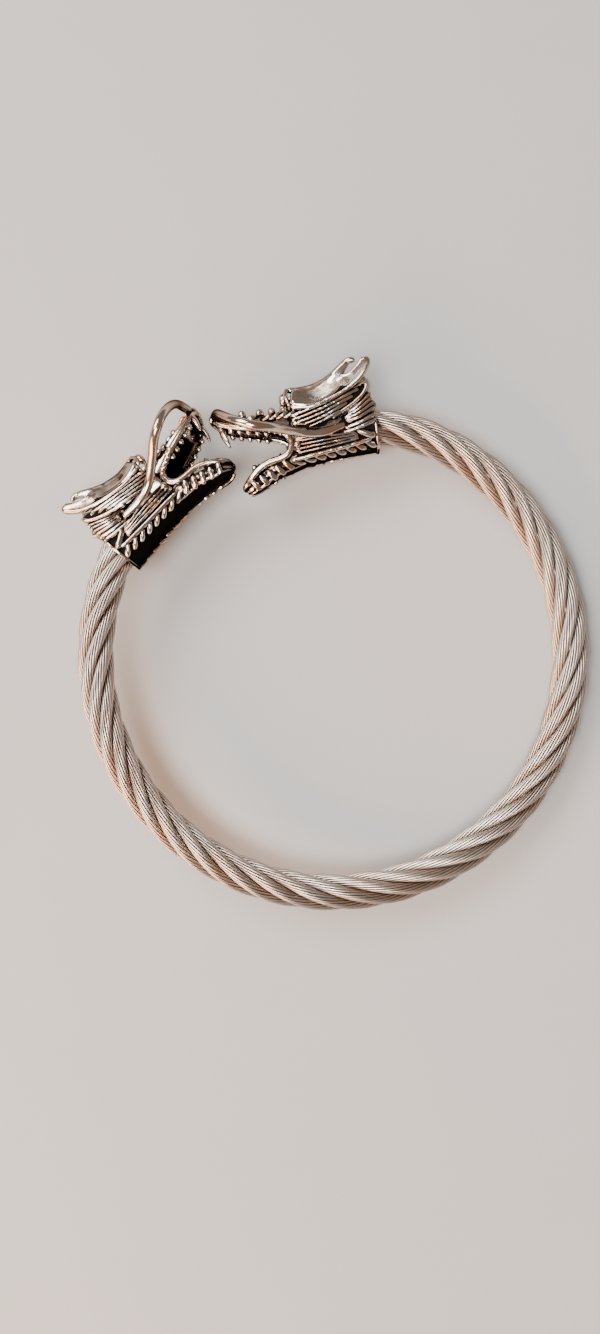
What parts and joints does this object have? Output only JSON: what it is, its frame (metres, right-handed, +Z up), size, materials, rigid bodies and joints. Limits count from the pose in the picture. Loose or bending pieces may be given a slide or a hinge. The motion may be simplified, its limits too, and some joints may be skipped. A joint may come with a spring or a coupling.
{
  "type": "viking bracelet",
  "caption": "Open spring bangle of twisted steel wire rope whose ends run into cast open-mouthed dragon heads that face each other.",
  "frame": {"origin": "centre of the bangle's box on the surface that it lies on", "axes": "+Z up off the surface, +Y from the ring's centre towards the gap between the heads"},
  "size_m": [0.072, 0.075, 0.0163],
  "materials": {
    "cast_steel": "polished casting with blackened recesses",
    "rope_steel": "drawn wire, lightly darkened between the strands"
  },
  "bodies": {
    "root": {"head_right": "cast_steel", "head_left": "cast_steel", "rope_core": "rope_steel", "rope_strand_1": "rope_steel", "rope_strand_2": "rope_steel", "rope_strand_3": "rope_steel", "rope_strand_4": "rope_steel", "rope_strand_5": "rope_steel", "rope_strand_6": "rope_steel"}
  },
  "joints": []
}
